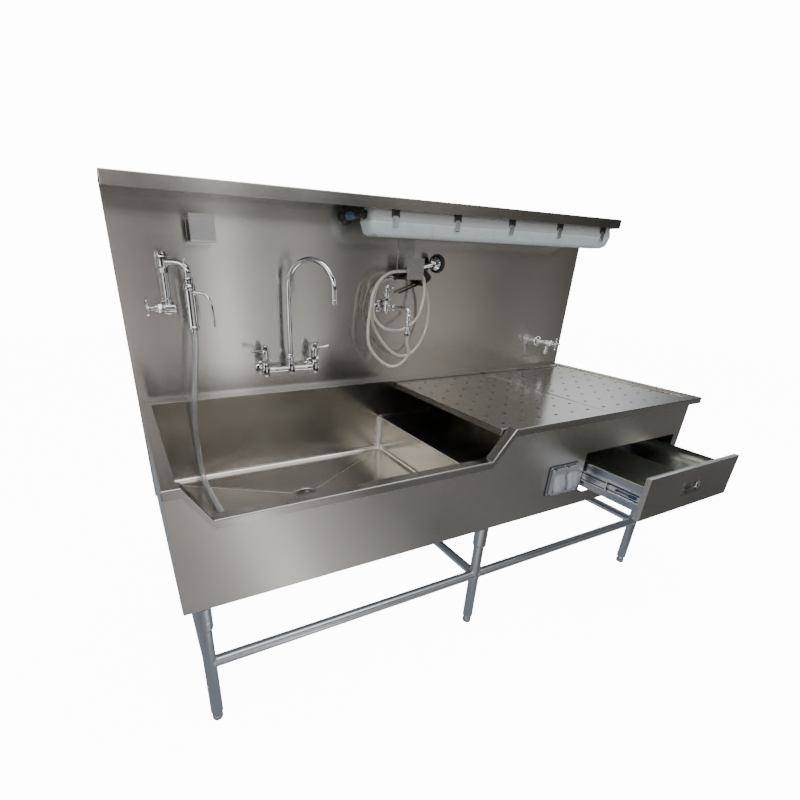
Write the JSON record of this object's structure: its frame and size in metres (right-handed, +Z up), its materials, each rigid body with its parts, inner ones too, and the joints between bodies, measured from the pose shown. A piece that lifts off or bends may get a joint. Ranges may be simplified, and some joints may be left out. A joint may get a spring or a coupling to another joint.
{
  "type": "embalming sink station",
  "caption": "Stainless embalming sink station: deep bowl with dropped front rim, perforated worktop, drawer, backsplash with taps, aspirator, spray hose and shelf light, on tube legs.",
  "frame": {"origin": "on the floor, under the middle of the station's box with the drawer half out, hoses left aside", "axes": "+X along the length to the worktop end, +Y to the wall, +Z up; the drawer and the bowl's front face -Y"},
  "size_m": [2.134, 1.0356, 1.525],
  "materials": {
    "black_plastic": "matt black plastic",
    "black_rubber": "matt black rubber",
    "braided_hose": "cream-grey reinforced hose",
    "cast_grey": "grey cast metal",
    "clear_vinyl": "clear vinyl tube",
    "grey_plastic": "light grey moulded plastic",
    "leg_steel": "satin stainless tube",
    "polished_chrome": "polished chrome plate",
    "satin_steel": "satin brushed stainless sheet",
    "white_diffuser": "white translucent plastic",
    "zinc_plate": "zinc-plated steel"
  },
  "bodies": {
    "station": {"aspirator_body": "polished_chrome", "aspirator_valve_body": "polished_chrome", "backsplash": "satin_steel", "discharge_hose": "clear_vinyl", "drain_body": "polished_chrome", "drain_pan": "satin_steel", "drawer_hanger_left": "satin_steel", "drawer_hanger_right": "satin_steel", "faucet_body": "polished_chrome", "front_apron": "satin_steel", "hook_left": "satin_steel", "hook_right": "satin_steel", "led_tray": "white_diffuser", "leg_frame": "leg_steel", "light_conduit": "black_plastic", "light_diffuser": "white_diffuser", "light_housing": "grey_plastic", "outlet_box": "zinc_plate", "outlet_cover": "cast_grey", "overhead_shelf": "satin_steel", "sink_bowl": "satin_steel", "slide_outer_left": "zinc_plate", "slide_outer_right": "zinc_plate", "spigot_body": "polished_chrome", "spray_bumper": "black_rubber", "spray_gun": "black_plastic", "spray_hose": "braided_hose", "spray_valve_body": "polished_chrome", "top_rim": "satin_steel"},
    "drawer": {"drawer_front": "satin_steel", "drawer_box": "satin_steel", "pull_cup": "polished_chrome", "slide_inner_left": "zinc_plate", "slide_inner_right": "zinc_plate"},
    "slide_middle": {"slide_middle_left": "zinc_plate", "slide_middle_right": "zinc_plate"},
    "pull_bail": {"pull_bail": "polished_chrome"},
    "outlet_lid_left": {"outlet_lid_left": "cast_grey"},
    "outlet_lid_right": {"outlet_lid_right": "cast_grey"},
    "gooseneck_spout": {"gooseneck_spout": "polished_chrome"},
    "faucet_lever_left": {"faucet_lever_left": "polished_chrome"},
    "faucet_lever_right": {"faucet_lever_right": "polished_chrome"},
    "aspirator_handle": {"aspirator_handle": "polished_chrome"},
    "spray_valve_handle": {"spray_valve_handle": "polished_chrome"},
    "spray_lever": {"spray_lever": "black_plastic"},
    "spigot_handle": {"spigot_handle": "polished_chrome"},
    "worktop_panel_left": {"worktop_panel_left": "satin_steel"},
    "worktop_panel_right": {"worktop_panel_right": "satin_steel"},
    "drain_strainer": {"drain_strainer": "polished_chrome"},
    "light_clip_1": {"light_clip_1": "zinc_plate"},
    "light_clip_2": {"light_clip_2": "zinc_plate"},
    "light_clip_3": {"light_clip_3": "zinc_plate"},
    "light_clip_4": {"light_clip_4": "zinc_plate"},
    "light_clip_5": {"light_clip_5": "zinc_plate"},
    "foot_front_left": {"foot_front_left": "leg_steel"},
    "foot_front_middle": {"foot_front_middle": "leg_steel"},
    "foot_front_right": {"foot_front_right": "leg_steel"},
    "foot_rear_left": {"foot_rear_left": "leg_steel"},
    "foot_rear_middle": {"foot_rear_middle": "leg_steel"},
    "foot_rear_right": {"foot_rear_right": "leg_steel"}
  },
  "joints": [
    {"name": "drawer_slide", "type": "slide", "parent": "station", "child": "drawer", "axis": [0, -1, 0], "range_m": [-0.254, 0.254]},
    {"name": "slide_middle_travel", "type": "slide", "parent": "station", "child": "slide_middle", "axis": [0, -1, 0], "range_m": [-0.127, 0.127]},
    {"name": "pull_bail_swing", "type": "hinge", "parent": "drawer", "child": "pull_bail", "pos_m": [0.7235, -0.51175, 0.6], "axis": [-1, 0, 0], "range_deg": [0, 85]},
    {"name": "outlet_lid_left_flip", "type": "hinge", "parent": "station", "child": "outlet_lid_left", "pos_m": [0.291, -0.27305, 0.636], "axis": [-1, 0, 0], "range_deg": [0, 110], "stiffness_Nm_per_rad": 0.08},
    {"name": "outlet_lid_right_flip", "type": "hinge", "parent": "station", "child": "outlet_lid_right", "pos_m": [0.359, -0.27305, 0.636], "axis": [-1, 0, 0], "range_deg": [0, 110], "stiffness_Nm_per_rad": 0.08},
    {"name": "spout_swing", "type": "hinge", "parent": "station", "child": "gooseneck_spout", "pos_m": [-0.501, 0.42775, 0.955], "axis": [0, 0, 1], "range_deg": [-108, 42]},
    {"name": "faucet_lever_left_turn", "type": "hinge", "parent": "station", "child": "faucet_lever_left", "pos_m": [-0.6025, 0.42775, 0.989], "axis": [0, 0, 1], "range_deg": [0, 90]},
    {"name": "faucet_lever_right_turn", "type": "hinge", "parent": "station", "child": "faucet_lever_right", "pos_m": [-0.3995, 0.42775, 0.989], "axis": [0, 0, -1], "range_deg": [0, 90]},
    {"name": "aspirator_handle_turn", "type": "hinge", "parent": "station", "child": "aspirator_handle", "pos_m": [-0.9673, 0.43625, 1.16], "axis": [-1, 0, 0], "range_deg": [0, 360]},
    {"name": "spray_valve_handle_turn", "type": "hinge", "parent": "station", "child": "spray_valve_handle", "pos_m": [-0.082, 0.41975, 1.2018], "axis": [0, 0, 1], "range_deg": [0, 90]},
    {"name": "spray_lever_squeeze", "type": "hinge", "parent": "station", "child": "spray_lever", "pos_m": [0.11808, 0.45975, 1.26188], "axis": [0, 1, 0], "range_deg": [0, 12], "stiffness_Nm_per_rad": 0.5},
    {"name": "spigot_handle_turn", "type": "hinge", "parent": "station", "child": "spigot_handle", "pos_m": [0.892, 0.37445, 0.962], "axis": [0, -1, 0], "range_deg": [0, 360]},
    {"name": "worktop_panel_left_lift", "type": "slide", "parent": "station", "child": "worktop_panel_left", "axis": [0, 0, 1], "range_m": [0, 0.06]},
    {"name": "worktop_panel_right_lift", "type": "slide", "parent": "station", "child": "worktop_panel_right", "axis": [0, 0, 1], "range_m": [0, 0.06]},
    {"name": "drain_strainer_lift", "type": "slide", "parent": "station", "child": "drain_strainer", "axis": [0, 0, 1], "range_m": [0, 0.08]},
    {"name": "light_clip_1_release", "type": "hinge", "parent": "station", "child": "light_clip_1", "pos_m": [-0.137, 0.29395, 1.468], "axis": [-1, 0, 0], "range_deg": [0, 80]},
    {"name": "light_clip_2_release", "type": "hinge", "parent": "station", "child": "light_clip_2", "pos_m": [0.14, 0.29395, 1.468], "axis": [-1, 0, 0], "range_deg": [0, 80]},
    {"name": "light_clip_3_release", "type": "hinge", "parent": "station", "child": "light_clip_3", "pos_m": [0.417, 0.29395, 1.468], "axis": [-1, 0, 0], "range_deg": [0, 80]},
    {"name": "light_clip_4_release", "type": "hinge", "parent": "station", "child": "light_clip_4", "pos_m": [0.694, 0.29395, 1.468], "axis": [-1, 0, 0], "range_deg": [0, 80]},
    {"name": "light_clip_5_release", "type": "hinge", "parent": "station", "child": "light_clip_5", "pos_m": [0.971, 0.29395, 1.468], "axis": [-1, 0, 0], "range_deg": [0, 80]},
    {"name": "foot_front_left_turn", "type": "hinge", "parent": "station", "child": "foot_front_left", "pos_m": [-1.012, -0.23825, 0], "axis": [0, 0, 1], "continuous": true},
    {"name": "foot_front_middle_turn", "type": "hinge", "parent": "station", "child": "foot_front_middle", "pos_m": [-0.015, -0.23825, 0], "axis": [0, 0, 1], "continuous": true},
    {"name": "foot_front_right_turn", "type": "hinge", "parent": "station", "child": "foot_front_right", "pos_m": [0.952, -0.23825, 0], "axis": [0, 0, 1], "continuous": true},
    {"name": "foot_rear_left_turn", "type": "hinge", "parent": "station", "child": "foot_rear_left", "pos_m": [-1.012, 0.45175, 0], "axis": [0, 0, 1], "continuous": true},
    {"name": "foot_rear_middle_turn", "type": "hinge", "parent": "station", "child": "foot_rear_middle", "pos_m": [-0.015, 0.45175, 0], "axis": [0, 0, 1], "continuous": true},
    {"name": "foot_rear_right_turn", "type": "hinge", "parent": "station", "child": "foot_rear_right", "pos_m": [0.952, 0.45175, 0], "axis": [0, 0, 1], "continuous": true}
  ],
  "couplings": [
    {"joint": "slide_middle_travel", "follows": "drawer_slide", "ratio": 0.5}
  ]
}
